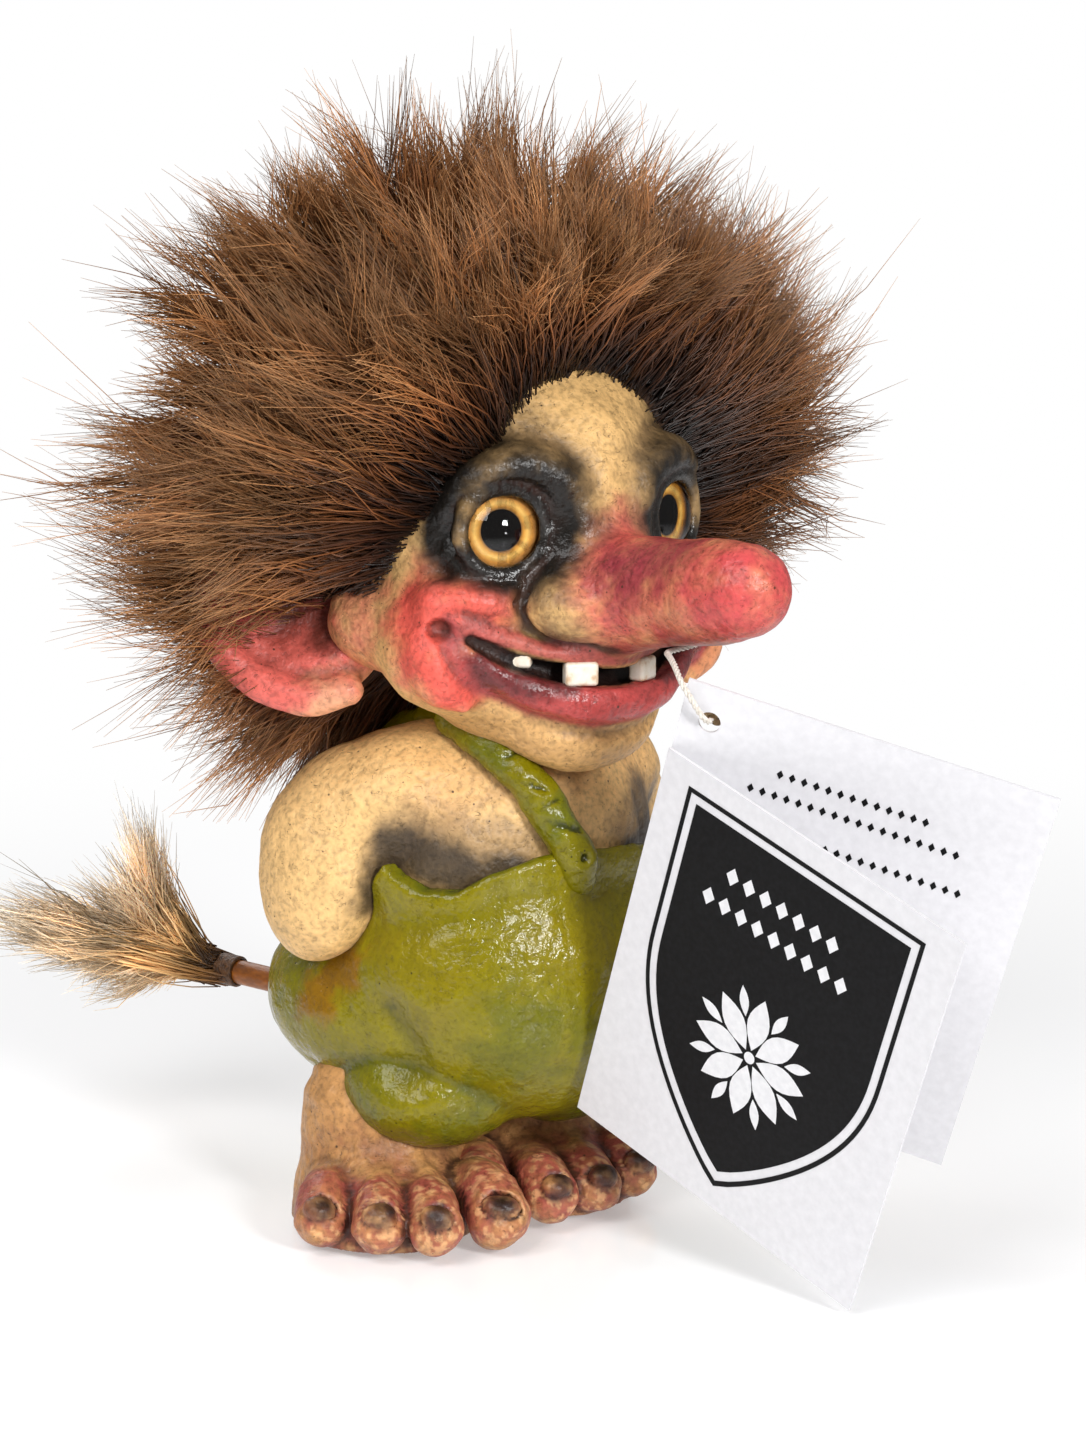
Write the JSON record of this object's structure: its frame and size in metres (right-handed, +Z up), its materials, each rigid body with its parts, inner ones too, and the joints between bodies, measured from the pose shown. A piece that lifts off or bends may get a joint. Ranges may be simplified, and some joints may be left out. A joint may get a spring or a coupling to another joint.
{
  "type": "troll figure",
  "caption": "Cast and painted standing troll with glass eyes, long nose, fur wig, one-strap dungarees, a thong tail with a tuft, and a folded card tag on a string.",
  "frame": {"origin": "on the floor under the figure, on the flat sole between the two feet", "axes": "+Z up, the troll faces -Y, and its own left side is +X"},
  "size_m": [0.114, 0.1587, 0.1455],
  "materials": {
    "skin": "painted cast latex, satin",
    "green_cloth": "painted and varnished casting",
    "tooth": "painted",
    "eye_glass": "clear dome",
    "eye_amber": "amber enamel",
    "eye_black": "black glass",
    "filling": "foamed filling",
    "hide": "fur hide",
    "fur": "long brown fur",
    "tail_fur": "tan fur",
    "thong": "waxed round thong",
    "card": "printed card, satin",
    "string": "twisted cotton"
  },
  "bodies": {
    "figure": {"body_core": "filling", "dungarees": "green_cloth", "fur_back": "fur", "fur_crown": "fur", "fur_fringe": "fur", "fur_left": "fur", "fur_right": "fur", "head": "skin", "head_core": "filling", "left_arm": "skin", "left_ear": "skin", "left_eye_glass": "eye_glass", "left_eye_iris": "eye_amber", "left_eye_pupil": "eye_black", "left_eye_shank": "eye_black", "left_leg": "skin", "left_tooth": "tooth", "middle_tooth": "tooth", "right_arm": "skin", "right_ear": "skin", "right_eye_glass": "eye_glass", "right_eye_iris": "eye_amber", "right_eye_pupil": "eye_black", "right_eye_shank": "eye_black", "right_leg": "skin", "right_tooth": "tooth", "shoulder_strap": "green_cloth", "strap_button": "green_cloth", "string_knot": "string", "tag_string": "string", "tail_plug": "thong", "torso": "skin", "wig_hide": "hide"},
    "tail": {"tail_thong": "thong", "tail_binding": "thong", "tail_tuft": "tail_fur"},
    "tag_back": {"tag_back_leaf": "card"},
    "tag_front": {"tag_front_leaf": "card"}
  },
  "joints": [
    {"name": "tail_lift", "type": "hinge", "parent": "figure", "child": "tail", "pos_m": [-0.006, 0.031, 0.0226], "axis": [0.9532, 0.3024, 0], "range_deg": [-12, 25]},
    {"name": "tag_swing", "type": "hinge", "parent": "figure", "child": "tag_back", "pos_m": [-0.0044, -0.04864, 0.07102], "axis": [-0.7845, -0.5392, -0.3062], "range_deg": [0, 35]},
    {"name": "tag_open", "type": "hinge", "parent": "tag_back", "child": "tag_front", "pos_m": [-0.00639, -0.04393, 0.06781], "axis": [0.0749, 0.4079, -0.91], "range_deg": [-24, 60]}
  ]
}
